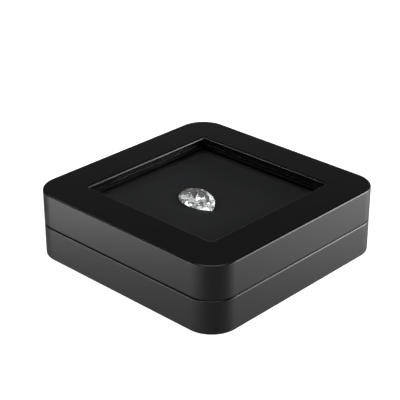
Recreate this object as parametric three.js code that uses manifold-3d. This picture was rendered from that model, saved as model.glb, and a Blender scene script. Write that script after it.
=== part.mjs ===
// Gemstone display box: a two-part lacquered box with a glazed lid, a padded insert and a pear-cut stone.
// Millimetres, +Z up. The origin is the middle of the underside, and the closed box stands on Z = 0.
import * as THREE from 'three';
import { mergeVertices } from 'three/addons/utils/BufferGeometryUtils.js';
import Module from 'manifold-3d';

const wasm = await Module();
wasm.setup();

// Box
const boxWidth = 70;
const boxCornerRadius = 8.2;
const lidHeight = 10.3;
const trayHeight = 10;
const edgeRounding = 0.5;
const footRounding = 0.4;

// Tray pocket
const trayFloor = 2.5;
const trayWall = 7.5;
const padClearance = 0.4;
const pocketCornerRadius = 3.2;

// Window in the lid, between four bars of one width
const windowBarWidth = 11.35;
const windowPlateThickness = 2.1;
const windowBevel = 0.6;
const glassThickness = 1.2;
const glassBearing = 3.7;
const glassClearance = 0.3;
const rebateCornerRadius = 3.8;
const retainerHeight = 0.8;
const retainerSetback = 1;

// Magnets, one in each corner of both mating faces
const magnetDiameter = 5;
const magnetThickness = 2;
const magnetInset = 5.5;
const magnetClearance = 0.15;
const magnetRecess = 0.1;

// Insert: a card board and a foam block in a wrapped cover, a little below the glass
const padBelowGlass = 1.5;
const padCornerRadius = 3;
const padEdgeRounding = 1.4;
const padCrown = 0.3;
const padWaist = 0.15;
const padCrownCornerShare = 0.2;
const coverThickness = 0.5;
const coverHemLift = 0.3;
const boardThickness = 1.2;
const foamClearance = 0.3;

// Stone: outline, heights and facet angles
const stoneLength = 13.7;
const stoneWidth = 9;
const stoneHeadShare = 0.5;
const wingExponent = 2.6;
const girdleThickness = 0.16;
const tableHeight = 0.88;
const crownAngle = 34;
const upperGirdleAngle = 40;
const starAngle = 21;
const pavilionAngle = 40;
const lowerGirdleAngle = 42;
const stoneClearance = 0.3;

// How the stone lies: the middle of its head from the middle of the insert and above its top, the way
// its crown leans and the way its tip points
const stoneX = -4.18;
const stoneY = -0.78;
const stoneAbovePad = 0.05;
const stoneLean = 5;
const stoneLeanDirection = -46;
const stoneTipDirection = -14;

// Counts
const cornerSteps = 10;
const roundingSteps = 4;
const crownSteps = 3;
const magnetSides = 32;
const mainFacets = 8;
const headSteps = 24;
const wingSteps = 14;

// Every cut runs past the surface that it opens by this much
const overrun = 1;

// Derived sizes
const boxHeight = trayHeight + lidHeight;
const halfBox = boxWidth / 2;
const halfWindow = halfBox - windowBarWidth;
const halfRebate = halfWindow + glassBearing + glassClearance;
const halfGlass = halfRebate - glassClearance;
const glassCornerRadius = rebateCornerRadius - glassClearance;
const glassTop = boxHeight - windowPlateThickness;
const glassBottom = glassTop - glassThickness;
const halfPocket = halfBox - trayWall;
const halfPad = halfPocket - padClearance;
const padTopHeight = glassBottom - padBelowGlass;
const magnetOffset = halfBox - magnetInset;

const lacquer = { color: 0x141416, roughness: 0.35, metalness: 0 };
const windowPane = { color: 0xe8f0ee, roughness: 0.02, metalness: 0, transparent: true, opacity: 0.25 };
const retainerPlastic = { color: 0x101012, roughness: 0.6, metalness: 0 };
const nickel = { color: 0xb8b6b0, roughness: 0.3, metalness: 1 };
const card = { color: 0x6e6a62, roughness: 0.9, metalness: 0 };
const foam = { color: 0x2a2a2d, roughness: 1, metalness: 0 };
const coverCloth = { color: 0x0c0c0e, roughness: 0.85, metalness: 0 };
const gem = { color: 0xf4f6f8, roughness: 0.02, metalness: 0 };

// One level of a square body: half its width, its corner radius and its height
function level(half, radius, z) {
  return { half, radius, z };
}

function roundedSquare({ half, radius, z }) {
  const ring = [];
  for (let corner = 0; corner < 4; corner += 1) {
    const start = corner * Math.PI / 2;
    const centreX = (half - radius) * Math.sign(Math.cos(start + Math.PI / 4));
    const centreY = (half - radius) * Math.sign(Math.sin(start + Math.PI / 4));
    for (let step = 0; step <= cornerSteps; step += 1) {
      const angle = start + step / cornerSteps * Math.PI / 2;
      ring.push(new THREE.Vector3(centreX + radius * Math.cos(angle), centreY + radius * Math.sin(angle), z));
    }
  }
  return ring;
}

// A closed body through the levels, from the lowest to the highest
function loft(levels) {
  const rings = levels.map(roundedSquare);
  const around = rings[0].length;
  const points = rings.flat();
  const bottomCentre = points.push(new THREE.Vector3(0, 0, levels[0].z)) - 1;
  const topCentre = points.push(new THREE.Vector3(0, 0, levels.at(-1).z)) - 1;
  const topRing = around * (rings.length - 1);
  const faces = [];
  for (let step = 0; step < around; step += 1) {
    const next = (step + 1) % around;
    faces.push(bottomCentre, next, step);
    faces.push(topCentre, topRing + step, topRing + next);
    for (let ring = 0; ring < rings.length - 1; ring += 1) {
      const low = ring * around;
      const high = low + around;
      faces.push(low + step, low + next, high + next);
      faces.push(low + step, high + next, high + step);
    }
  }
  const geometry = new THREE.BufferGeometry().setFromPoints(points);
  geometry.setIndex(faces);
  return geometry;
}

// The levels of a quarter-round edge: it starts on the flat face below, or ends on the flat face above
function roundedEdge(half, radius, faceHeight, rounding, facesUp) {
  const levels = [];
  for (let step = 0; step <= roundingSteps; step += 1) {
    const angle = step / roundingSteps * Math.PI / 2;
    const inset = rounding * (1 - Math.sin(angle));
    const drop = rounding * (1 - Math.cos(angle));
    levels.push(level(half - inset, radius - inset, facesUp ? faceHeight - drop : faceHeight + drop));
  }
  return facesUp ? levels.reverse() : levels;
}

function prism(half, radius, bottom, top) {
  return loft([level(half, radius, bottom), level(half, radius, top)]);
}

function disc(diameter, thickness, x, y, bottom) {
  const geometry = new THREE.CylinderGeometry(diameter / 2, diameter / 2, thickness, magnetSides);
  geometry.rotateX(Math.PI / 2);
  return geometry.translate(x, y, bottom + thickness / 2);
}

function solid(geometry) {
  const bare = geometry.clone();
  bare.deleteAttribute('normal');
  bare.deleteAttribute('uv');
  const merged = mergeVertices(bare);
  return new wasm.Manifold(new wasm.Mesh({
    numProp: 3,
    vertProperties: new Float32Array(merged.attributes.position.array),
    triVerts: new Uint32Array(merged.index.array),
  }));
}

function geometryOf(body) {
  const result = body.getMesh();
  const geometry = new THREE.BufferGeometry();
  geometry.setAttribute('position', new THREE.BufferAttribute(result.vertProperties, 3));
  geometry.setIndex(new THREE.BufferAttribute(result.triVerts, 1));
  return geometry;
}

function node(name, geometry, finish) {
  const flat = geometry.toNonIndexed();
  flat.computeVertexNormals();
  const mesh = new THREE.Mesh(flat, new THREE.MeshStandardMaterial(finish));
  mesh.name = name;
  return mesh;
}

const magnetCorners = [
  { side: 'front_right', x: magnetOffset, y: -magnetOffset },
  { side: 'back_right', x: magnetOffset, y: magnetOffset },
  { side: 'back_left', x: -magnetOffset, y: magnetOffset },
  { side: 'front_left', x: -magnetOffset, y: -magnetOffset },
];

// A blind hole for each magnet, open at the mating face of the tray or of the lid
function drillMagnetHoles(body, bottom, top) {
  const holeDiameter = magnetDiameter + 2 * magnetClearance;
  return magnetCorners.reduce(
    (drilled, { x, y }) => drilled.subtract(solid(disc(holeDiameter, top - bottom, x, y, bottom))),
    body,
  );
}

function magnets(prefix, bottom) {
  return magnetCorners.map(({ side, x, y }) => (
    node(`${prefix}_magnet_${side}`, disc(magnetDiameter, magnetThickness, x, y, bottom), nickel)
  ));
}

const magnetSeat = magnetThickness + magnetRecess;

function baseTray() {
  const outside = solid(loft([
    ...roundedEdge(halfBox, boxCornerRadius, 0, footRounding, false),
    ...roundedEdge(halfBox, boxCornerRadius, trayHeight, edgeRounding, true),
  ]));
  const pocket = solid(prism(halfPocket, pocketCornerRadius, trayFloor, trayHeight + overrun));
  const tray = outside.subtract(pocket);
  return drillMagnetHoles(tray, trayHeight - magnetSeat, trayHeight + overrun);
}

// The bevel round the window: four sloping sides that open upwards
function windowBevelCut() {
  const rise = windowBevel + overrun;
  const lowRadius = halfWindow * Math.SQRT2;
  const highRadius = (halfWindow + rise) * Math.SQRT2;
  const cut = new THREE.CylinderGeometry(highRadius, lowRadius, rise, 4);
  cut.rotateX(Math.PI / 2);
  cut.rotateZ(Math.PI / 4);
  return cut.translate(0, 0, boxHeight - windowBevel + rise / 2);
}

function windowCut(half, bottom, top) {
  const cut = new THREE.BoxGeometry(2 * half, 2 * half, top - bottom);
  return cut.translate(0, 0, (bottom + top) / 2);
}

function lidFrame() {
  const outside = solid(loft([
    ...roundedEdge(halfBox, boxCornerRadius, trayHeight, edgeRounding, false),
    ...roundedEdge(halfBox, boxCornerRadius, boxHeight, edgeRounding, true),
  ]));
  const rebate = solid(prism(halfRebate, rebateCornerRadius, trayHeight - overrun, glassTop));
  const frame = outside
    .subtract(rebate)
    .subtract(solid(windowCut(halfWindow, glassTop - overrun, boxHeight + overrun)))
    .subtract(solid(windowBevelCut()));
  return drillMagnetHoles(frame, trayHeight - overrun, trayHeight + magnetSeat);
}

function glassRetainer() {
  const bottom = glassBottom - retainerHeight;
  const ring = solid(prism(halfGlass, glassCornerRadius, bottom, glassBottom));
  return ring.subtract(solid(windowCut(halfWindow + retainerSetback, bottom - overrun, glassBottom + overrun)));
}

// The outside of the insert: straight hem, sides drawn in at mid height, rounded edge and a low crown
function padShape(inset, bottom) {
  const half = halfPad - inset;
  const radius = padCornerRadius - inset;
  const shoulder = padTopHeight - inset - padCrown;
  const rounding = padEdgeRounding - inset;
  const waistHeight = (bottom + shoulder) / 2;
  const levels = [
    level(half, radius, bottom),
    level(half - padWaist, radius, waistHeight),
    ...roundedEdge(half, radius, shoulder, rounding, true),
  ];
  for (let step = 1; step <= crownSteps; step += 1) {
    const reach = 1 - step / (crownSteps + 1);
    const size = (half - rounding) * reach;
    const corner = Math.max(radius - rounding, size * padCrownCornerShare);
    levels.push(level(size, corner, shoulder + padCrown * (1 - reach ** 2)));
  }
  return loft(levels);
}

// Outline of the stone, seen from above: a round head and two wings that meet in the tip at +X
const headRadius = stoneWidth * stoneHeadShare;
const wingLength = stoneLength - headRadius;

function stoneOutline(growth) {
  const halfWidth = stoneWidth / 2 + growth;
  const head = headRadius + growth;
  const wing = wingLength + growth;
  const upper = [];
  for (let step = 0; step < wingSteps; step += 1) {
    const reach = 1 - step / wingSteps;
    upper.push(new THREE.Vector2(wing * reach, halfWidth * (1 - reach ** wingExponent)));
  }
  const headPoints = [];
  for (let step = 0; step <= headSteps; step += 1) {
    const angle = Math.PI / 2 + step / headSteps * Math.PI;
    headPoints.push(new THREE.Vector2(head * Math.cos(angle), halfWidth * Math.sin(angle)));
  }
  const lower = upper.slice(1).reverse().map((point) => new THREE.Vector2(point.x, -point.y));
  return [...upper, ...headPoints, ...lower];
}

// A place on the outline, counted in shares of its length from the tip, with the way it faces there
const outlineCurve = new THREE.Shape([...stoneOutline(0), stoneOutline(0)[0]]);
const tangentStepShare = 0.01;

function outlineStation(share) {
  const place = outlineCurve.getPointAt(share);
  const before = outlineCurve.getPointAt((share - tangentStepShare + 1) % 1);
  const after = outlineCurve.getPointAt((share + tangentStepShare) % 1);
  const along = after.sub(before).normalize();
  return { x: place.x, y: place.y, faceX: along.y, faceY: -along.x };
}

// A block that fills all the space beyond a facet's plane
const blockSize = 3 * stoneLength;

function beyond(point, normal) {
  const block = new THREE.BoxGeometry(blockSize, blockSize, blockSize);
  block.translate(0, 0, blockSize / 2);
  block.applyQuaternion(new THREE.Quaternion().setFromUnitVectors(new THREE.Vector3(0, 0, 1), normal.normalize()));
  block.translate(point.x, point.y, point.z);
  return solid(block);
}

// A facet that touches the girdle at one place, or stays clear of it by the growth, and slopes inwards
// from there, up on the crown or down on the pavilion
function girdleFacet(share, angle, height, upwards, growth = 0) {
  const { x, y, faceX, faceY } = outlineStation(share);
  const slope = THREE.MathUtils.degToRad(angle);
  const normal = new THREE.Vector3(
    faceX * Math.sin(slope),
    faceY * Math.sin(slope),
    upwards * Math.cos(slope),
  );
  return beyond(new THREE.Vector3(x + growth * faceX, y + growth * faceY, height), normal);
}

function tableCorner(share) {
  const { x, y, faceX, faceY } = outlineStation(share);
  const run = tableHeight / Math.tan(THREE.MathUtils.degToRad(crownAngle));
  return new THREE.Vector3(x - run * faceX, y - run * faceY, tableHeight);
}

// A star facet falls away from the table edge between two corners of the table
function starFacet(share, nextShare) {
  const corner = tableCorner(share);
  const edge = tableCorner(nextShare).sub(corner).normalize();
  const slope = THREE.MathUtils.degToRad(starAngle);
  const normal = new THREE.Vector3(edge.y * Math.sin(slope), -edge.x * Math.sin(slope), Math.cos(slope));
  return beyond(corner, normal);
}

// The uncut stone: its outline, grown all round, from below the keel to a height above the girdle
function blank(growth, top) {
  const depth = (stoneWidth / 2 + growth) * Math.tan(THREE.MathUtils.degToRad(lowerGirdleAngle)) + overrun;
  const outline = new THREE.Shape(stoneOutline(growth));
  const body = new THREE.ExtrudeGeometry(outline, { depth: depth + top, bevelEnabled: false });
  return solid(body.translate(0, 0, -depth));
}

function pearCutStone() {
  let stone = blank(0, tableHeight);
  for (let main = 0; main < mainFacets; main += 1) {
    const share = (main + 1 / 2) / mainFacets;
    const nextShare = (main + 3 / 2) / mainFacets % 1;
    stone = stone
      .subtract(girdleFacet(share, crownAngle, 0, 1))
      .subtract(starFacet(share, nextShare))
      .subtract(girdleFacet(share, pavilionAngle, -girdleThickness, -1));
    for (const side of [1 / 4, 3 / 4]) {
      const besideShare = (main + side) / mainFacets;
      stone = stone
        .subtract(girdleFacet(besideShare, upperGirdleAngle, 0, 1))
        .subtract(girdleFacet(besideShare, lowerGirdleAngle, -girdleThickness, -1));
    }
  }
  return stone;
}

// Puts a geometry made round the middle of the stone's head where the stone lies
function lay(target) {
  const lean = THREE.MathUtils.degToRad(stoneLean);
  const leanDirection = THREE.MathUtils.degToRad(stoneLeanDirection);
  const leanAxis = new THREE.Vector3(-Math.sin(leanDirection), Math.cos(leanDirection), 0);
  const tip = THREE.MathUtils.degToRad(stoneTipDirection);
  target.applyQuaternion(new THREE.Quaternion().setFromAxisAngle(new THREE.Vector3(0, 0, 1), tip));
  target.applyQuaternion(new THREE.Quaternion().setFromAxisAngle(leanAxis, lean));
  return target.translate(stoneX, stoneY, padTopHeight + stoneAbovePad);
}

// The dent that the stone presses into the insert: its pavilion grown by the given amount, carried on
// upwards past the surface of the pad
function dent(growth) {
  let hollow = blank(growth, stoneWidth);
  for (let facet = 0; facet < 2 * mainFacets; facet += 1) {
    const share = (facet + 1 / 2) / (2 * mainFacets);
    hollow = hollow.subtract(girdleFacet(share, lowerGirdleAngle, -girdleThickness, -1, growth));
  }
  return solid(lay(geometryOf(hollow)));
}

const boardTop = trayFloor + boardThickness;
const foamInset = coverThickness + foamClearance;

function padBoard() {
  return prism(halfPad - foamInset, padCornerRadius - foamInset, trayFloor, boardTop);
}

function padFoam() {
  return solid(padShape(foamInset, boardTop)).subtract(dent(stoneClearance + foamInset));
}

// The cover follows the foam and the dent, and is open underneath, where it is glued to the board
function padCover() {
  const hem = trayFloor + coverHemLift;
  const inside = solid(padShape(coverThickness, trayFloor - overrun)).subtract(dent(stoneClearance + coverThickness));
  return solid(padShape(0, hem)).subtract(dent(stoneClearance)).subtract(inside);
}

const base = new THREE.Group();
base.add(node('base_tray', geometryOf(baseTray()), lacquer));
base.add(...magnets('base', trayHeight - magnetSeat));
base.add(node('pad_board', padBoard(), card));
base.add(node('pad_foam', geometryOf(padFoam()), foam));
base.add(node('pad_cover', geometryOf(padCover()), coverCloth));
base.add(node('pear_cut_stone', lay(geometryOf(pearCutStone())), gem));

const lid = new THREE.Group();
lid.add(node('lid_frame', geometryOf(lidFrame()), lacquer));
lid.add(node('window_glass', prism(halfGlass, glassCornerRadius, glassBottom, glassTop), windowPane));
lid.add(node('glass_retainer', geometryOf(glassRetainer()), retainerPlastic));
lid.add(...magnets('lid', trayHeight + magnetRecess));

const gemstoneDisplayBox = new THREE.Group();
gemstoneDisplayBox.add(base, lid);

export default gemstoneDisplayBox;
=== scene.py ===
import math

import bmesh
import bpy
import numpy as np
from mathutils import Matrix, Vector
from mathutils.bvhtree import BVHTree


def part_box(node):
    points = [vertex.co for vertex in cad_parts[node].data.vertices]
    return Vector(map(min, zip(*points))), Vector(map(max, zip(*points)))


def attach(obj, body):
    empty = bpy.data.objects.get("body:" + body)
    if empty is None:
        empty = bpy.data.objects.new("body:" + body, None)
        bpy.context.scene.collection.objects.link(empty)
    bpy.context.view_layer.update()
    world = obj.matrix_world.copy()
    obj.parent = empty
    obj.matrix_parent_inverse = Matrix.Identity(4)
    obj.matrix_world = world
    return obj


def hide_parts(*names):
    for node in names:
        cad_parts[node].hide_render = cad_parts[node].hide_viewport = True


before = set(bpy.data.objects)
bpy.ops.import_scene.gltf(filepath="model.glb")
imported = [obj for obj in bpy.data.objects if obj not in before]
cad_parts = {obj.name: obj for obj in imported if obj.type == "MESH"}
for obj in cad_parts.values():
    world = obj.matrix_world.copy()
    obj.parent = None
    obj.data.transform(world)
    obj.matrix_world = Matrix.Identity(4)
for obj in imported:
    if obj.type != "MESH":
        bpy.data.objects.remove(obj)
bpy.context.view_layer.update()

MM = 0.001

# Camera, fitted to the edges of the box in the photograph, whose frame is square
PHOTO_SIZE_PX = 400
FOCAL_LENGTH_PX = 1236.2
SENSOR_WIDTH_MM = 36
CAMERA_AZIMUTH = 43.557
CAMERA_ELEVATION = 26.488
CAMERA_ROLL = -0.091
CAMERA_DISTANCE = 356.34 * MM
CAMERA_TO_RIGHT = -2.033 * MM
CAMERA_UP = 13.954 * MM

# Lacquered shells: the sizes that the boxes round the solids don't tell
CORNER_RADIUS = 8.2 * MM
EDGE_ROUNDING = 0.5 * MM
FOOT_ROUNDING = 0.4 * MM
INNER_EDGE_ROUNDING = 0.12 * MM
WINDOW_CORNER_RADIUS = 0.5 * MM
WINDOW_WIDTH = 47.3 * MM
WINDOW_EDGE_ROUNDING = 0.62 * MM
WINDOW_LIP = 0.05 * MM
REBATE_CLEARANCE = 0.3 * MM
REBATE_CORNER_RADIUS = 3.8 * MM
POCKET_CLEARANCE = 0.4 * MM
POCKET_CORNER_RADIUS = 3.2 * MM
TRAY_FLOOR = 2.5 * MM

# Loose parts of the lid and the tray
GLASS_CHAMFER = 0.15 * MM
RETAINER_WIDTH = 2.7 * MM
RETAINER_ROUNDING = 0.15 * MM
BOARD_ROUNDING = 0.1 * MM
MAGNET_ROUNDING = 0.25 * MM
MAGNET_HOLE_CLEARANCE = 0.15 * MM
MAGNET_HOLE_DEPTH = 2.1 * MM

# Insert
PAD_CORNER_RADIUS = 3 * MM
PAD_EDGE_ROUNDING = 1.4 * MM
PAD_CROWN = 0.3 * MM
PAD_WAIST = 0.15 * MM
PAD_STEP = 0.5 * MM
COVER_THICKNESS = 0.5 * MM
FOAM_CLEARANCE = 0.4 * MM
STONE_CLEARANCE = 0.1 * MM
FOAM_STIFFNESS = 0.02
DENT_PASSES = 240

# Cloth simulation of the insert's cover, at the size of a cushion, for which the cloth's settings are made
COVER_SLACK = 0.15 * MM
HELD_DENT = 0.02 * MM
CLOTH_SCALE = 10
CLOTH_PRESSURE = 4
CLOTH_FRAMES = 20

# Finishes: the size of each mark and the height of its relief
LACQUER_PATCH = 9 * MM
LACQUER_SKIN = 0.7 * MM
LACQUER_DUST = 0.12 * MM
LACQUER_RELIEF = 0.0015 * MM
CLOTH_NAP = 0.28 * MM
CLOTH_SHADE = 6 * MM
CLOTH_RELIEF = 0.05 * MM
FOAM_CELL = 0.6 * MM
FOAM_RELIEF = 0.25 * MM
BOARD_FIBRE = 0.5 * MM
BOARD_BLOTCH = 5 * MM
BOARD_RELIEF = 0.03 * MM
PLASTIC_GRAIN = 0.2 * MM
PLASTIC_SHADE = 8 * MM
PLASTIC_RELIEF = 0.003 * MM
NICKEL_GRAIN = 0.15 * MM
NICKEL_STAIN = 1.6 * MM
NICKEL_RELIEF = 0.002 * MM
GLASS_HAZE = 14 * MM
GEM_CLOUD = 1.5 * MM

# Lacquer: its roughness, how much less of it rubbed places have, and how soon a rounding counts as rubbed
LACQUER_ROUGHNESS = 0.38
RUBBED_SMOOTHER = 0.17
ROUNDED_GAIN = 8

WHITE = (1.0, 1.0, 1.0)

# Mirrored share of the coated pane: seen straight on, and what comes on top towards a glancing view
PANE_MIRROR_SHARE = 0.004
PANE_GLANCING_SHARE = 0.5
PANE_GLANCING_POWER = 8

# Angles in degrees above which an edge is shaded sharp
SHARP_ANGLE = 40
GLASS_SHARP_ANGLE = 30
CLOTH_SHARP_ANGLE = 60

# Counts
CORNER_STEPS = 24
EDGE_STEPS = 6
MAGNET_STEPS = 48


class Tone:
    """A value in a material that Python's operators join to others by Math nodes."""

    def __init__(self, finish, socket):
        self.finish = finish
        self.socket = socket

    def joined(self, operation, first, second):
        settings = {"operation": operation}
        return self.finish.add("ShaderNodeMath", settings, {0: first, 1: second})

    def __add__(self, other):
        return self.joined("ADD", self, other)

    __radd__ = __add__

    def __sub__(self, other):
        return self.joined("SUBTRACT", self, other)

    def __rsub__(self, other):
        return self.joined("SUBTRACT", other, self)

    def __mul__(self, other):
        return self.joined("MULTIPLY", self, other)

    __rmul__ = __mul__

    def __pow__(self, power):
        return self.joined("POWER", self, power)

    def __abs__(self):
        return self.finish.add("ShaderNodeMath", {"operation": "ABSOLUTE"}, {0: self})

    def larger(self, other):
        return self.joined("MAXIMUM", self, other)

    def smaller(self, other):
        return self.joined("MINIMUM", self, other)

    def below(self, level):
        return self.joined("LESS_THAN", self, level)


class Finish:
    """A material being built. add() makes any node: its type, its settings, then its values and links."""

    def __init__(self, name, tree=None):
        if tree is None:
            self.material = bpy.data.materials.new(name)
            self.material.use_nodes = True
            tree = self.material.node_tree
        self.tree = tree
        self.tree.nodes.clear()

    def add(self, kind, settings=None, inputs=None, output=0):
        node = self.tree.nodes.new(kind)
        for name, value in (settings or {}).items():
            setattr(node, name, value)
        for key, value in (inputs or {}).items():
            self.feed(node.inputs[key], value)
        return Tone(self, node.outputs[output]) if len(node.outputs) else None

    def feed(self, socket, value):
        if isinstance(value, Tone):
            self.tree.links.new(value.socket, socket)
        elif isinstance(value, tuple) and len(value) == 3 and socket.type == "RGBA":
            socket.default_value = (*value, 1)
        else:
            socket.default_value = value

    def place(self, stretch=(1, 1, 1)):
        spot = self.add("ShaderNodeTexCoord", output="Object")
        return self.add("ShaderNodeMapping", None, {"Vector": spot, "Scale": stretch})

    def noise(self, size, detail=2.0, roughness=0.5, stretch=(1, 1, 1)):
        """Noise with features of about that size in metres."""
        inputs = {"Vector": self.place(stretch), "Scale": 1 / size, "Detail": detail, "Roughness": roughness}
        return self.add("ShaderNodeTexNoise", None, inputs)

    def colour_mix(self, factor, first, second):
        """A blend of two colours, which are inputs 6 and 7 and output 2 of the Mix node."""
        settings = {"data_type": "RGBA"}
        return self.add("ShaderNodeMix", settings, {0: factor, 6: first, 7: second}, output=2)

    def bump(self, height, distance, strength=1.0):
        inputs = {"Height": height, "Distance": distance, "Strength": strength}
        return self.add("ShaderNodeBump", None, inputs)

    def principled(self, **inputs):
        named = {name.replace("_", " "): value for name, value in inputs.items()}
        return self.add("ShaderNodeBsdfPrincipled", None, named)

    def finished(self, shader):
        self.add("ShaderNodeOutputMaterial", None, {"Surface": shader})
        return self.material


def lacquer():
    """Satin black lacquer: very slightly uneven in gloss, with the faint skin of a sprayed coat.
    It is glossier in the window's opening and along the rounded edges, which hands rub smooth."""
    finish = Finish("satin_black_lacquer")
    place = finish.add("ShaderNodeTexCoord", output="Object")
    across = finish.add("ShaderNodeSeparateXYZ", None, {0: place}, output="X")
    along = finish.add("ShaderNodeSeparateXYZ", None, {0: place}, output="Y")
    opening = abs(across).larger(abs(along)).below(WINDOW_WIDTH / 2 + WINDOW_EDGE_ROUNDING)
    facing = finish.add("ShaderNodeTexCoord", output="Normal")
    upwards = finish.add("ShaderNodeSeparateXYZ", None, {0: facing}, output="Z") ** 2
    rounded = (upwards * (1 - upwards) * ROUNDED_GAIN).smaller(1)
    rubbed = opening.larger(rounded)
    patches = finish.noise(LACQUER_PATCH, detail=3.0)
    skin = finish.noise(LACQUER_SKIN, detail=2.0)
    dust = finish.noise(LACQUER_DUST, detail=1.0)
    colour = finish.colour_mix(patches, (0.0025, 0.0025, 0.0027), (0.0038, 0.0038, 0.004))
    return finish.finished(finish.principled(
        Base_Color=colour,
        Roughness=LACQUER_ROUGHNESS + patches * 0.05 + dust * 0.03 - rubbed * RUBBED_SMOOTHER,
        IOR=1.5,
        Normal=finish.bump(skin + dust * 0.25, LACQUER_RELIEF),
    ))


def pad_cloth():
    """Fine matt black cloth with a short nap."""
    finish = Finish("black_cloth")
    nap = finish.noise(CLOTH_NAP, detail=4.0, roughness=0.7)
    shade = finish.noise(CLOTH_SHADE, detail=2.0)
    colour = finish.colour_mix(nap * 0.7 + shade * 0.3, (0.0135, 0.0135, 0.0145), (0.027, 0.027, 0.029))
    return finish.finished(finish.principled(
        Base_Color=colour,
        Roughness=0.86 + nap * 0.1,
        Specular_IOR_Level=0.12,
        Sheen_Weight=0.04,
        Sheen_Roughness=0.5,
        Normal=finish.bump(nap, CLOTH_RELIEF, strength=0.6),
    ))


def foam_rubber():
    """Open-celled black foam."""
    finish = Finish("black_foam")
    cells = finish.add("ShaderNodeTexVoronoi", None, {"Vector": finish.place(), "Scale": 1 / FOAM_CELL})
    colour = finish.colour_mix(cells, (0.008, 0.008, 0.009), (0.04, 0.04, 0.042))
    return finish.finished(finish.principled(
        Base_Color=colour,
        Roughness=0.9 + cells * 0.1,
        Normal=finish.bump(cells, FOAM_RELIEF),
    ))


def grey_board():
    """Grey board with pressed fibres."""
    finish = Finish("grey_board")
    fibres = finish.noise(BOARD_FIBRE, detail=5.0, roughness=0.7, stretch=(0.25, 1, 1))
    blotches = finish.noise(BOARD_BLOTCH, detail=2.0)
    colour = finish.colour_mix(fibres * 0.6 + blotches * 0.4, (0.11, 0.10, 0.088), (0.22, 0.205, 0.18))
    return finish.finished(finish.principled(
        Base_Color=colour,
        Roughness=0.82 + fibres * 0.14,
        Normal=finish.bump(fibres, BOARD_RELIEF),
    ))


def retainer_plastic():
    """Matt black moulded plastic."""
    finish = Finish("matt_black_plastic")
    grain = finish.noise(PLASTIC_GRAIN, detail=2.0)
    shade = finish.noise(PLASTIC_SHADE, detail=2.0)
    colour = finish.colour_mix(shade, (0.009, 0.009, 0.0095), (0.014, 0.014, 0.015))
    return finish.finished(finish.principled(
        Base_Color=colour,
        Roughness=0.5 + grain * 0.14,
        Specular_IOR_Level=0.2,
        Normal=finish.bump(grain, PLASTIC_RELIEF),
    ))


def nickel():
    """Nickel plating with a fine satin grain."""
    finish = Finish("nickel_plating")
    grain = finish.noise(NICKEL_GRAIN, detail=3.0)
    stains = finish.noise(NICKEL_STAIN, detail=3.0)
    colour = finish.colour_mix(stains, (0.56, 0.54, 0.50), (0.66, 0.645, 0.61))
    return finish.finished(finish.principled(
        Base_Color=colour,
        Metallic=1.0,
        Roughness=0.2 + grain * 0.1 + stains * 0.08,
        Normal=finish.bump(grain, NICKEL_RELIEF),
    ))


def window_glass():
    """Clear coated glass that mirrors very little, thin enough that what lies behind it isn't shifted."""
    finish = Finish("clear_window_glass")
    haze = finish.noise(GLASS_HAZE, detail=2.0)
    gloss = finish.principled(
        Base_Color=WHITE,
        Metallic=1.0,
        Roughness=0.02 + haze * 0.015,
    )
    clear = finish.add("ShaderNodeBsdfTransparent", None, {"Color": (0.985, 0.99, 0.988)})
    facing = finish.add("ShaderNodeLayerWeight", None, {"Blend": 0.5}, output="Facing")
    share = PANE_MIRROR_SHARE + PANE_GLANCING_SHARE * facing ** PANE_GLANCING_POWER
    return finish.finished(finish.add("ShaderNodeMixShader", None, {0: share, 1: clear, 2: gloss}))


def gem():
    """A colourless stone of high refraction with polished facets."""
    finish = Finish("colourless_gem")
    clouds = finish.noise(GEM_CLOUD, detail=3.0)
    colour = finish.colour_mix(clouds, (0.985, 0.99, 1.0), (1.0, 0.995, 0.98))
    return finish.finished(finish.principled(
        Base_Color=colour,
        Roughness=clouds * 0.03,
        IOR=1.95,
        Transmission_Weight=0.88,
    ))


def rounded_square(half, radius, height):
    """A ring of points anticlockwise round a square with rounded corners."""
    ring = []
    for corner in range(4):
        start = corner * math.pi / 2
        middle_x = math.copysign(half - radius, math.cos(start + math.pi / 4))
        middle_y = math.copysign(half - radius, math.sin(start + math.pi / 4))
        for step in range(CORNER_STEPS + 1):
            angle = start + step / CORNER_STEPS * math.pi / 2
            ring.append(Vector((
                middle_x + radius * math.cos(angle),
                middle_y + radius * math.sin(angle),
                height,
            )))
    return ring


def circle(x, y, radius, height):
    turns = [step / MAGNET_STEPS * 2 * math.pi for step in range(MAGNET_STEPS)]
    return [Vector((x + radius * math.cos(turn), y + radius * math.sin(turn), height)) for turn in turns]


def turned_edge(half, radius, height, rounding, start, end):
    """Levels round an edge whose arc's centre lies at half and height: angles count up from outwards."""
    levels = []
    for step in range(EDGE_STEPS + 1):
        angle = math.radians(start + (end - start) * step / EDGE_STEPS)
        reach = rounding * math.cos(angle)
        levels.append((half + reach, radius + reach, height + rounding * math.sin(angle)))
    return levels


def add_ring(mesh, points):
    return [mesh.verts.new(point) for point in points]


def square_rings(mesh, levels):
    return [add_ring(mesh, rounded_square(*level)) for level in levels]


def skin(mesh, rings):
    """Walls between rings of equally many points."""
    for low, high in zip(rings, rings[1:]):
        for place in range(len(low)):
            beside = (place + 1) % len(low)
            mesh.faces.new((low[place], low[beside], high[beside], high[place]))


def fill(mesh, *loops):
    """A flat face inside the first loop, with a hole for each of the others."""
    edges = []
    for loop in loops:
        for place in range(len(loop)):
            pair = (loop[place], loop[(place + 1) % len(loop)])
            edges.append(mesh.edges.get(pair) or mesh.edges.new(pair))
    bmesh.ops.triangle_fill(mesh, use_beauty=True, use_dissolve=False, edges=edges)


def block(mesh, rings):
    """Walls between the rings, and a face at each end."""
    skin(mesh, rings)
    fill(mesh, rings[0])
    fill(mesh, rings[-1])


def new_object(name, data):
    made = bpy.data.objects.new(name, data)
    bpy.context.scene.collection.objects.link(made)
    return made


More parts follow.
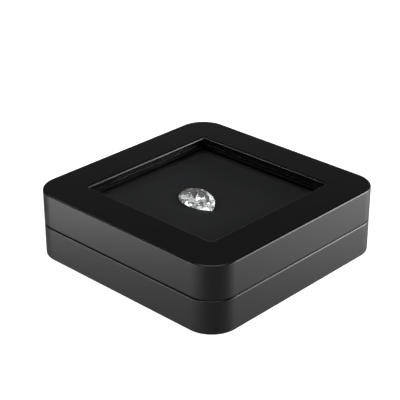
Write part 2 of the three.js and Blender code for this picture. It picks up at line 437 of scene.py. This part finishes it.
def mesh_object(name, mesh, material):
    """A new object of one material from a mesh under construction."""
    data = bpy.data.meshes.new(name)
    mesh.to_mesh(data)
    mesh.free()
    data.materials.append(material)
    return new_object(name, data)


def finished_piece(name, mesh, material, body, replaces, sharp_angle=SHARP_ANGLE):
    """Closes a piece: outward faces, smooth where it turns gently, riding on its body."""
    bmesh.ops.recalc_face_normals(mesh, faces=mesh.faces)
    piece = mesh_object(name, mesh, material)
    piece.data.shade_smooth()
    piece.data.set_sharp_from_angle(angle=math.radians(sharp_angle))
    weighted = piece.modifiers.new("even_shading", "WEIGHTED_NORMAL")
    weighted.keep_sharp = True
    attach(piece, body)
    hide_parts(*replaces)
    return piece


def magnet_places(body):
    """Centre, radius and lowest and highest point of each magnet of the tray or of the lid."""
    places = {}
    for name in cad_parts:
        if name.startswith(body + "_magnet_"):
            low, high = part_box(name)
            places[name] = ((low + high) / 2, (high.x - low.x) / 2, low.z, high.z)
    return places


def drilled_face(mesh, outer, inner, height, body, depth):
    """The mating face of the tray or the lid, with a blind hole for each magnet."""
    openings = []
    for centre, radius, _, _ in magnet_places(body).values():
        hole = radius + MAGNET_HOLE_CLEARANCE
        mouth = add_ring(mesh, circle(centre.x, centre.y, hole, height))
        bottom = add_ring(mesh, circle(centre.x, centre.y, hole, height + depth))
        skin(mesh, [mouth, bottom])
        fill(mesh, bottom)
        openings.append(mouth)
    fill(mesh, outer, inner, *openings)


def lid_shell(material):
    """The lid: a square frame round a window with a rounded rim, rebated underneath for the glass.
    A thin lip closes the joint between the window's wall and the pane."""
    low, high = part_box("lid_frame")
    glass_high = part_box("window_glass")[1]
    half = high.x
    soft = EDGE_ROUNDING
    window = WINDOW_WIDTH / 2
    corner = WINDOW_CORNER_RADIUS
    rim = WINDOW_EDGE_ROUNDING
    rebate = glass_high.x + REBATE_CLEARANCE
    ledge = glass_high.z
    core = half - soft
    core_radius = CORNER_RADIUS - soft
    levels = [
        (rebate, REBATE_CORNER_RADIUS, low.z),
        (rebate, REBATE_CORNER_RADIUS, ledge),
        *turned_edge(window, corner, ledge, WINDOW_LIP, 180, 90),
        *turned_edge(window + rim, corner + rim, high.z - rim, rim, 180, 90),
        *turned_edge(core, core_radius, high.z - soft, soft, 90, 0),
        *turned_edge(core, core_radius, low.z + soft, soft, 0, -90),
    ]
    mesh = bmesh.new()
    rings = square_rings(mesh, levels)
    skin(mesh, rings)
    drilled_face(mesh, rings[-1], rings[0], low.z, "lid", MAGNET_HOLE_DEPTH)
    return finished_piece("lid_shell", mesh, material, "lid", ["lid_frame"])


def tray_shell(material):
    """The tray: as high as the lid, with a pocket for the insert."""
    low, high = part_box("base_tray")
    pad_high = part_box("pad_cover")[1]
    pocket = pad_high.x + POCKET_CLEARANCE
    soft = EDGE_ROUNDING
    foot = FOOT_ROUNDING
    fine = INNER_EDGE_ROUNDING
    half = high.x
    levels = [
        *turned_edge(half - foot, CORNER_RADIUS - foot, low.z + foot, foot, -90, 0),
        *turned_edge(half - soft, CORNER_RADIUS - soft, high.z - soft, soft, 0, 90),
    ]
    inner_levels = [
        *turned_edge(pocket + fine, POCKET_CORNER_RADIUS + fine, high.z - fine, fine, 90, 180),
        (pocket, POCKET_CORNER_RADIUS, TRAY_FLOOR),
    ]
    mesh = bmesh.new()
    rings = square_rings(mesh, levels)
    inner_rings = square_rings(mesh, inner_levels)
    skin(mesh, rings)
    skin(mesh, inner_rings)
    fill(mesh, rings[0])
    fill(mesh, inner_rings[-1])
    drilled_face(mesh, rings[-1], inner_rings[0], high.z, "base", -MAGNET_HOLE_DEPTH)
    return finished_piece("tray_shell", mesh, material, "base", ["base_tray"])


def magnet_disc(node, material, body):
    """A plated disc with rounded rims."""
    centre, radius, bottom, top = magnet_places(body)[node]
    core = radius - MAGNET_ROUNDING
    levels = [
        *turned_edge(core, 0, bottom + MAGNET_ROUNDING, MAGNET_ROUNDING, -90, 0),
        *turned_edge(core, 0, top - MAGNET_ROUNDING, MAGNET_ROUNDING, 0, 90),
    ]
    mesh = bmesh.new()
    rings = [add_ring(mesh, circle(centre.x, centre.y, reach, height)) for reach, _, height in levels]
    block(mesh, rings)
    return finished_piece(node + "_disc", mesh, material, body, [node])


def glass_pane(material):
    """The window pane, with its sharp edges taken off."""
    low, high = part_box("window_glass")
    radius = REBATE_CORNER_RADIUS - REBATE_CLEARANCE
    edge = GLASS_CHAMFER
    levels = [
        (high.x - edge, radius - edge, low.z),
        (high.x, radius, low.z + edge),
        (high.x, radius, high.z - edge),
        (high.x - edge, radius - edge, high.z),
    ]
    mesh = bmesh.new()
    rings = square_rings(mesh, levels)
    block(mesh, rings)
    replaces = ["window_glass"]
    return finished_piece("glass_pane", mesh, material, "lid", replaces, GLASS_SHARP_ANGLE)


def retainer_ring(material):
    """The thin moulded frame under the pane."""
    low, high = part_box("glass_retainer")
    soft = RETAINER_ROUNDING
    outer = high.x - soft
    outer_radius = REBATE_CORNER_RADIUS - REBATE_CLEARANCE - soft
    inner = high.x - RETAINER_WIDTH + soft
    inner_radius = WINDOW_CORNER_RADIUS + soft
    levels = [
        *turned_edge(outer, outer_radius, low.z + soft, soft, -90, 0),
        *turned_edge(outer, outer_radius, high.z - soft, soft, 0, 90),
        *turned_edge(inner, inner_radius + soft, high.z - soft, soft, 90, 180),
        *turned_edge(inner, inner_radius + soft, low.z + soft, soft, 180, 270),
    ]
    mesh = bmesh.new()
    rings = square_rings(mesh, levels)
    skin(mesh, [*rings, rings[0]])
    return finished_piece("retainer_ring", mesh, material, "lid", ["glass_retainer"])


def backing_board(material):
    low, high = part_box("pad_board")
    edge = BOARD_ROUNDING
    radius = PAD_CORNER_RADIUS - COVER_THICKNESS - FOAM_CLEARANCE
    levels = [
        *turned_edge(high.x - edge, radius - edge, low.z + edge, edge, -90, 0),
        *turned_edge(high.x - edge, radius - edge, high.z - edge, edge, 0, 90),
    ]
    mesh = bmesh.new()
    rings = square_rings(mesh, levels)
    block(mesh, rings)
    return finished_piece("backing_board", mesh, material, "base", ["pad_board"])


def stone_underside():
    """A function that gives the height of the stone's underside over a place, or None beside it."""
    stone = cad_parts["pear_cut_stone"]
    corners = [vertex.co for vertex in stone.data.vertices]
    faces = [polygon.vertices for polygon in stone.data.polygons]
    tree = BVHTree.FromPolygons(corners, faces)

    def height(x, y):
        hit, _, _, _ = tree.ray_cast(Vector((x, y, 0)), Vector((0, 0, 1)))
        return None if hit is None else hit.z

    return height


def pressed_depths(across, tops, gap):
    """How far the stone presses each place of the insert down, on a grid of across by across places.
    The stone's lowest point within half a step counts. The insert acts like a membrane on springs:
    it is held down under the stone, and rises again round it."""
    underside = stone_underside()
    needed = np.zeros((len(across), len(across)))
    half_step = (across[1] - across[0]) / 2
    nudges = (-half_step, 0, half_step)
    for row, x in enumerate(across):
        for column, y in enumerate(across):
            heights = [underside(x + one, y + two) for one in nudges for two in nudges]
            heights = [height for height in heights if height is not None]
            if heights:
                needed[row, column] = max(0, tops[row, column] - min(heights) + gap)
    depths = needed.copy()
    for _ in range(DENT_PASSES):
        around = np.zeros_like(depths)
        around[1:-1, 1:-1] = (
            depths[:-2, 1:-1] + depths[2:, 1:-1] + depths[1:-1, :-2] + depths[1:-1, 2:]
        ) / 4
        depths = np.maximum(needed, around * (1 - FOAM_STIFFNESS))
    return depths


def blow_up(piece, held):
    """Blows a slack cover up by a cloth simulation on an enlarged copy.
    The held points stay where they are."""
    trial = new_object("cloth_trial", piece.data.copy())
    trial.data.transform(Matrix.Scale(CLOTH_SCALE, 4))
    trial.vertex_groups.new(name="held").add(held, 1.0, "REPLACE")
    cloth = trial.modifiers.new("cloth", "CLOTH")
    cloth.settings.use_pressure = True
    cloth.settings.uniform_pressure_force = CLOTH_PRESSURE
    cloth.settings.effector_weights.gravity = 0
    cloth.settings.vertex_group_mass = "held"
    for moment in range(CLOTH_FRAMES):
        bpy.context.scene.frame_set(1 + moment)
    blown = trial.evaluated_get(bpy.context.evaluated_depsgraph_get()).data
    for vertex, start, end in zip(piece.data.vertices, trial.data.vertices, blown.vertices):
        shift = (end.co - start.co) / CLOTH_SCALE
        vertex.co += shift * COVER_SLACK / (COVER_SLACK + shift.length)
    bpy.context.scene.frame_set(1)
    bpy.data.objects.remove(trial)


def rounded_point(place, core, radius, edge, top):
    """Moves a point of a box onto a form whose upright corners have one radius and whose top edge another."""
    middle = Vector((min(max(place.x, -core), core), min(max(place.y, -core), core), place.z))
    away = place - middle
    if away.length == 0:
        return place
    reach = max(abs(away.x), abs(away.y))
    arc_middle = Vector((min(reach, radius - edge), min(place.z, top - edge)))
    arc = Vector((reach, place.z)) - arc_middle
    turned = arc_middle + arc.normalized() * edge if min(arc) > 0 else arc_middle + arc
    point = middle + away.normalized() * turned.x
    point.z = turned.y
    return point


def pad_form(name, material, node, bottom, inset=0, slack=0, thickness=0):
    """A crowned block with rounded edges, drawn in at the waist and dented by the stone.
    It is a box of square cells whose surface is pulled onto the rounded form, and a slack one is blown up.
    One without thickness is solid, and one with it is a skin that is open at the bottom."""
    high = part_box("pad_cover")[1]
    half = high.x - inset
    top = high.z - inset - slack
    radius = PAD_CORNER_RADIUS - inset
    edge = PAD_EDGE_ROUNDING - inset
    across_count = round(2 * half / PAD_STEP)
    up_count = round((top - bottom) / PAD_STEP)
    across = np.linspace(-half, half, across_count + 1)
    up = np.linspace(bottom, top, up_count + 1)
    core = half - radius
    shares = across / half
    rise = PAD_CROWN * (1 - shares[:, None] ** 2) * (1 - shares[None, :] ** 2) - PAD_CROWN
    depths = pressed_depths(across, top + rise, STONE_CLEARANCE + inset)

    mesh = bmesh.new()
    corners = {}
    held = []

    def corner(column, row, level):
        key = (column, row, level)
        if key not in corners:
            place = Vector((across[column], across[row], up[level]))
            point = rounded_point(place, core, radius, edge, top)
            height_share = (place.z - bottom) / (top - bottom)
            if level == up_count:
                point.z += rise[column, row] - depths[column, row]
            else:
                point.z -= PAD_CROWN * height_share
                draw = (PAD_WAIST + slack) * math.sin(math.pi * height_share) / half
                point.x -= draw * point.x
                point.y -= draw * point.y
            if level == 0 or (level == up_count and depths[column, row] > HELD_DENT):
                held.append(len(corners))
            corners[key] = mesh.verts.new(point)
        return corners[key]

    def cell(place, first_step, second_step):
        """A face of four corners, from a place along the first step and then the second."""
        mesh.faces.new([
            corner(*(p + one * f + two * s for p, f, s in zip(place, first_step, second_step)))
            for one, two in ((0, 0), (1, 0), (1, 1), (0, 1))
        ])

    column_step = (1, 0, 0)
    row_step = (0, 1, 0)
    level_step = (0, 0, 1)
    for one in range(across_count):
        for two in range(across_count):
            cell((one, two, up_count), column_step, row_step)
    for level in range(up_count):
        for one in range(across_count):
            for side in (0, across_count):
                cell((one, side, level), column_step, level_step)
                cell((side, one, level), row_step, level_step)
    if thickness == 0:
        for one in range(across_count):
            for two in range(across_count):
                cell((one, two, 0), row_step, column_step)
    piece = finished_piece(name, mesh, material, "base", [node], CLOTH_SHARP_ANGLE)
    if slack > 0:
        blow_up(piece, held)
    if thickness > 0:
        wall = piece.modifiers.new("cloth_thickness", "SOLIDIFY")
        wall.thickness = thickness
        wall.offset = -1
    return piece


# Studio. What has brightness 1 shows as white.
# The upright sides of the box mirror what lies beside and below it. In the photograph that is two bright
# panels at the left and the right and a dim space between them, and not the white ground, so the panels
# reach below the floor, and the floor is left out of reflections and lets light past.
# A panel stands upright, square to a line from the middle of the box. The line's turn in degrees is counted
# anticlockwise from the right of the photograph, and the panel's start and end from the line, the same way.
LEFT_PANEL = {"turn": 180, "distance": 141 * MM, "start": -4.6 * MM, "end": 297 * MM, "bottom": -32.6 * MM,
              "top": 4 * MM, "brightness": 6.1}
RIGHT_PANEL = {"turn": 0, "distance": 212 * MM, "start": -145 * MM, "end": 162 * MM, "bottom": -88 * MM,
               "top": 30 * MM, "brightness": 2.25}
BACK_PANEL = {"turn": 90, "distance": 173 * MM, "start": -150 * MM, "end": 150 * MM, "bottom": -10 * MM,
              "top": 68 * MM, "brightness": 0.28}
# A small strip that the window's back right rim mirrors and the lid's outer left edge doesn't
HIGH_STRIP = {"turn": 226.4, "distance": 59 * MM, "start": -130 * MM, "end": -55 * MM, "bottom": 94 * MM,
              "top": 114 * MM, "brightness": 13}
# A softbox faces the middle of the box. Its direction is counted in degrees anticlockwise from +X, and its
# elevation in degrees above the floor.
RIGHT_SOFTBOX = {"direction": 51, "elevation": 10, "distance": 600 * MM, "width": 250 * MM,
                 "height": 350 * MM, "brightness": 10.5}
TOP_SOFTBOX = {"direction": -46, "elevation": 68, "distance": 400 * MM, "width": 420 * MM,
               "height": 420 * MM, "brightness": 1.85}
ROOM_BRIGHTNESS = 0.015
ROOM_BRIGHTNESS_BELOW = 0.278
FLOOR_WIDTH = 6000 * MM
FLOOR_PALE = (0.8, 0.8, 0.8)
FLOOR_WHITE = 0.9
ROOM_WHITE = 1.0


def lamp(name, place, outwards, width, height, brightness):
    """A flat rectangular lamp that shines inwards, seen in reflections but not by the lens."""
    light = bpy.data.lights.new(name, "AREA")
    light.shape = "RECTANGLE"
    light.size = width
    light.size_y = height
    light.energy = brightness * math.pi * width * height
    holder = new_object(name, light)
    along = Vector((0, 0, 1)).cross(outwards).normalized()
    turn = Matrix((along, outwards.cross(along), outwards)).transposed()
    holder.matrix_world = Matrix.Translation(place) @ turn.to_4x4()
    holder.visible_camera = False


def soft_panel(name, turn, distance, start, end, bottom, top, brightness):
    """An upright lamp beside the box."""
    direction = math.radians(CAMERA_AZIMUTH + turn)
    outwards = Vector((math.cos(direction), math.sin(direction), 0))
    along = Vector((-math.sin(direction), math.cos(direction), 0))
    place = outwards * distance + along * (start + end) / 2 + Vector((0, 0, (bottom + top) / 2))
    lamp(name, place, outwards, end - start, top - bottom, brightness)


def softbox(name, direction, elevation, distance, width, height, brightness):
    """A lamp above the box that points at it."""
    turn = math.radians(direction)
    lift = math.radians(elevation)
    outwards = Vector((
        math.cos(turn) * math.cos(lift),
        math.sin(turn) * math.cos(lift),
        math.sin(lift),
    ))
    lamp(name, outwards * distance, outwards, width, height, brightness)


def floor():
    """A plain pale floor that reads as white to the lens and through the stone, with a faint shadow."""
    finish = Finish("pale_floor")
    pale = finish.add("ShaderNodeBsdfDiffuse", None, {"Color": FLOOR_PALE})
    white = finish.add("ShaderNodeEmission", None, {"Color": WHITE, "Strength": FLOOR_WHITE})
    lens = finish.add("ShaderNodeLightPath", output="Is Camera Ray")
    through = finish.add("ShaderNodeLightPath", output="Is Transmission Ray")
    nothing = finish.add("ShaderNodeEmission", None, {"Strength": 0.0})
    seen = finish.add("ShaderNodeMixShader", None, {0: lens + through, 1: nothing, 2: white})
    material = finish.finished(finish.add("ShaderNodeAddShader", None, {0: pale, 1: seen}))
    mesh = bmesh.new()
    bmesh.ops.create_grid(mesh, x_segments=1, y_segments=1, size=FLOOR_WIDTH / 2)
    plane = mesh_object("floor", mesh, material)
    plane.visible_glossy = False
    plane.visible_shadow = False


def room():
    """A dim room, which the lens and the cut stone see as white."""
    world = bpy.data.worlds.new("room")
    world.use_nodes = True
    bpy.context.scene.world = world
    finish = Finish("room", world.node_tree)
    direction = finish.add("ShaderNodeTexCoord", output="Generated")
    height = finish.add("ShaderNodeSeparateXYZ", None, {0: direction}, output="Z")
    strength = ROOM_BRIGHTNESS + height.below(0.0) * (ROOM_BRIGHTNESS_BELOW - ROOM_BRIGHTNESS)
    dim = finish.add("ShaderNodeBackground", None, {"Color": WHITE, "Strength": strength})
    white = finish.add("ShaderNodeBackground", None, {"Color": WHITE, "Strength": ROOM_WHITE})
    lens = finish.add("ShaderNodeLightPath", output="Is Camera Ray")
    through = finish.add("ShaderNodeLightPath", output="Is Transmission Ray")
    shown = finish.add("ShaderNodeMixShader", None, {0: lens + through, 1: dim, 2: white})
    finish.add("ShaderNodeOutputWorld", None, {"Surface": shown})


def camera():
    """The photograph's viewpoint: its place, its slight roll and its lens."""
    azimuth = math.radians(CAMERA_AZIMUTH)
    elevation = math.radians(CAMERA_ELEVATION)
    roll = math.radians(CAMERA_ROLL)
    back = Vector((
        math.sin(azimuth) * math.cos(elevation),
        -math.cos(azimuth) * math.cos(elevation),
        math.sin(elevation),
    ))
    right = Vector((math.cos(azimuth), math.sin(azimuth), 0))
    up = back.cross(right)
    place = back * CAMERA_DISTANCE + right * CAMERA_TO_RIGHT + up * CAMERA_UP
    turned_right = right * math.cos(roll) + up * math.sin(roll)
    turned_up = up * math.cos(roll) - right * math.sin(roll)
    lens = bpy.data.cameras.new("camera")
    lens.sensor_width = SENSOR_WIDTH_MM
    lens.lens = FOCAL_LENGTH_PX / PHOTO_SIZE_PX * SENSOR_WIDTH_MM
    lens.dof.use_dof = False
    holder = new_object("camera", lens)
    turn = Matrix((turned_right, turned_up, back)).transposed()
    holder.matrix_world = Matrix.Translation(place) @ turn.to_4x4()
    bpy.context.scene.camera = holder


camera()
floor()
room()
soft_panel("left_panel", **LEFT_PANEL)
soft_panel("right_panel", **RIGHT_PANEL)
soft_panel("back_panel", **BACK_PANEL)
soft_panel("high_strip", **HIGH_STRIP)
softbox("right_softbox", **RIGHT_SOFTBOX)
softbox("top_softbox", **TOP_SOFTBOX)
bpy.context.scene.view_settings.view_transform = "Standard"

black_lacquer = lacquer()
plated_nickel = nickel()
lid_shell(black_lacquer)
tray_shell(black_lacquer)
glass_pane(window_glass())
retainer_ring(retainer_plastic())
backing_board(grey_board())
for body in ("base", "lid"):
    for node in magnet_places(body):
        magnet_disc(node, plated_nickel, body)
board_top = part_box("pad_board")[1].z
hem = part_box("pad_cover")[0].z
pad_form(
    "insert_cover", pad_cloth(), "pad_cover", hem,
    slack=COVER_SLACK, thickness=COVER_THICKNESS,
)
pad_form(
    "insert_foam", foam_rubber(), "pad_foam", board_top,
    inset=COVER_THICKNESS + FOAM_CLEARANCE,
)

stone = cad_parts["pear_cut_stone"]
stone.data.materials.clear()
stone.data.materials.append(gem())
